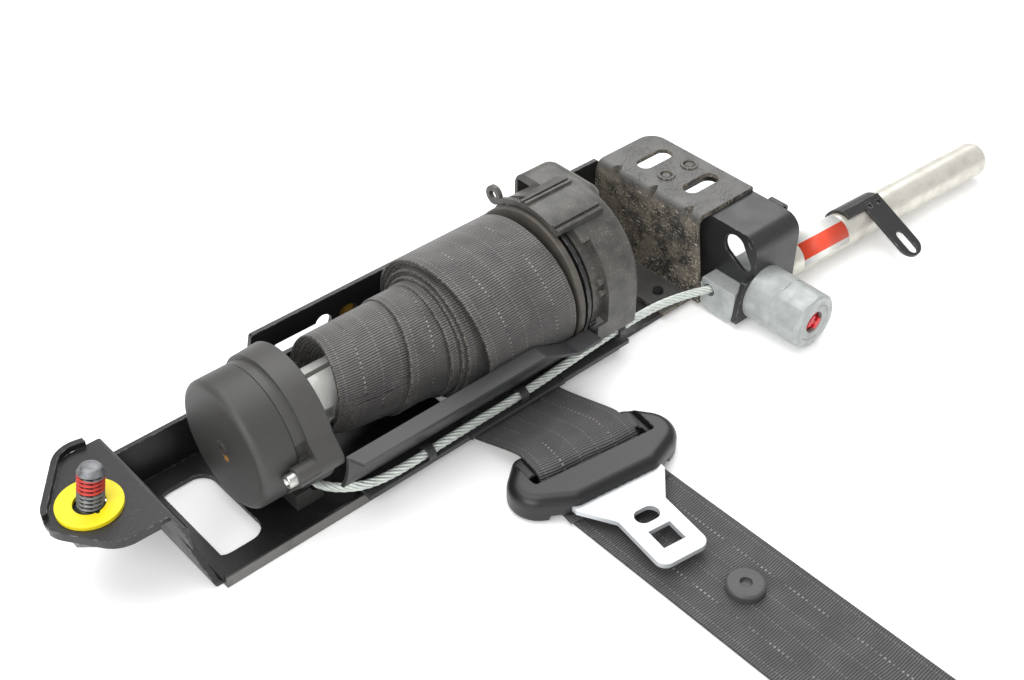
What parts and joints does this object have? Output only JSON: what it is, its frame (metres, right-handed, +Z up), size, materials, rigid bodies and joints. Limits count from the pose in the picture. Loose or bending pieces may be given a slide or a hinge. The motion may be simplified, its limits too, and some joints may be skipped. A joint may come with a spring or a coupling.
{
  "type": "seat belt retractor",
  "caption": "Seat-belt retractor in a pressed channel, with a wire-rope pretensioner and its tube, wound and laid-out webbing, a tongue, a stop button and an anchor plate.",
  "frame": {"origin": "under the middle of the whole object, on the surface it lies on", "axes": "+X along the channel from the bolt plate to the tube's end, +Y away from the side the webbing leaves by, +Z up"},
  "size_m": [0.4788, 0.336, 0.0719],
  "materials": {
    "black_sheet": "black coated pressed steel, satin",
    "bright_steel": "bright zinc-plated steel",
    "dark_steel": "oiled dark steel",
    "tongue_steel": "bright chromed blade steel",
    "black_plastic": "moulded black plastic, fine grain",
    "tongue_plastic": "smooth moulded black plastic",
    "webbing": "woven polyester webbing",
    "cast_core": "die-cast alloy",
    "zinc": "die-cast zinc, matt",
    "tube_steel": "drawn steel tube, satin",
    "wire_rope": "galvanised wire rope",
    "yellow_plastic": "yellow moulded plastic",
    "red_plastic": "red moulded plastic",
    "natural_plastic": "natural nylon",
    "seal_rubber": "rubber seal"
  },
  "bodies": {
    "frame": {"base_channel": "black_sheet", "spring_cap": "black_plastic", "drum_collar": "black_plastic", "housing_screws": "bright_steel", "return_spring": "dark_steel", "shaft_bushes": "natural_plastic", "pawl_pin": "bright_steel", "side_plate": "black_sheet", "mechanism_cover": "black_plastic", "sensor_housing": "natural_plastic", "webbing_guard": "black_plastic", "cable_clips": "black_plastic", "webbing_mouth": "black_plastic", "pretension_cable": "wire_rope", "end_bracket": "black_sheet", "bracket_rivets": "dark_steel", "generator_bracket": "black_sheet", "generator_body": "zinc", "generator_barrel": "zinc", "gas_generator": "bright_steel", "igniter_plug": "red_plastic", "pretension_tube": "tube_steel", "tube_end_cap": "tube_steel", "tube_clamp": "black_sheet", "webbing_strap": "webbing", "stop_button_front": "black_plastic", "stop_button_back": "black_plastic", "end_anchor_plate": "black_sheet"},
    "spool": {"spring_arbor": "natural_plastic", "spool_core": "cast_core", "webbing_roll": "webbing", "spool_flange": "dark_steel", "ratchet_wheel": "dark_steel", "control_disc": "natural_plastic"},
    "rope_drum": {"cable_drum": "zinc", "drum_cable": "wire_rope"},
    "piston_group": {"piston": "bright_steel", "piston_seal": "seal_rubber", "cable_ferrule": "bright_steel"},
    "pawl": {"locking_pawl": "dark_steel"},
    "ball": {"sensor_ball": "bright_steel"},
    "lever": {"sensor_lever": "natural_plastic"},
    "bolt": {"anchor_bolt": "dark_steel"},
    "washer": {"bolt_washer": "yellow_plastic"},
    "tongue": {"tongue_body": "tongue_plastic", "tongue_plate": "tongue_steel", "strap_fold": "webbing"}
  },
  "joints": [
    {"name": "spool_turn", "type": "hinge", "parent": "frame", "child": "spool", "pos_m": [-0.09415, 0.1306, 0.0346], "axis": [1, 0, 0], "continuous": true},
    {"name": "drum_pull", "type": "hinge", "parent": "frame", "child": "rope_drum", "pos_m": [-0.1467, 0.1306, 0.0346], "axis": [-1, 0, 0], "range_deg": [0, 258]},
    {"name": "piston_stroke", "type": "slide", "parent": "frame", "child": "piston_group", "axis": [0.9985, -0.0551, 0], "range_m": [0, 0.112]},
    {"name": "pawl_lock", "type": "hinge", "parent": "frame", "child": "pawl", "pos_m": [-0.00815, 0.1077, 0.02029], "axis": [1, 0, 0], "range_deg": [0, 12], "stiffness_Nm_per_rad": 0.005, "springref_deg": -5.73},
    {"name": "ball_roll", "type": "hinge", "parent": "frame", "child": "ball", "pos_m": [0.00245, 0.1306, 0.011], "axis": [0, 1, 0], "range_deg": [0, 40]},
    {"name": "lever_lift", "type": "hinge", "parent": "frame", "child": "lever", "pos_m": [0.00745, 0.1306, 0.0152], "axis": [0, 1, 0], "range_deg": [0, 6]},
    {"name": "bolt_turn", "type": "hinge", "parent": "frame", "child": "bolt", "pos_m": [-0.22315, 0.135, 0.0355], "axis": [0.2079, 0, 0.9781], "continuous": true},
    {"name": "washer_turn", "type": "hinge", "parent": "frame", "child": "washer", "pos_m": [-0.22315, 0.135, 0.0365], "axis": [0, 0, 1], "continuous": true},
    {"name": "tongue_slide", "type": "slide", "parent": "frame", "child": "tongue", "axis": [0, -1, 0], "range_m": [-0.006, 0.048]}
  ],
  "couplings": [
    {"joint": "piston_stroke", "follows": "drum_pull", "m_per_rad": 0.0246},
    {"joint": "lever_lift", "follows": "ball_roll", "ratio": 0.14}
  ]
}
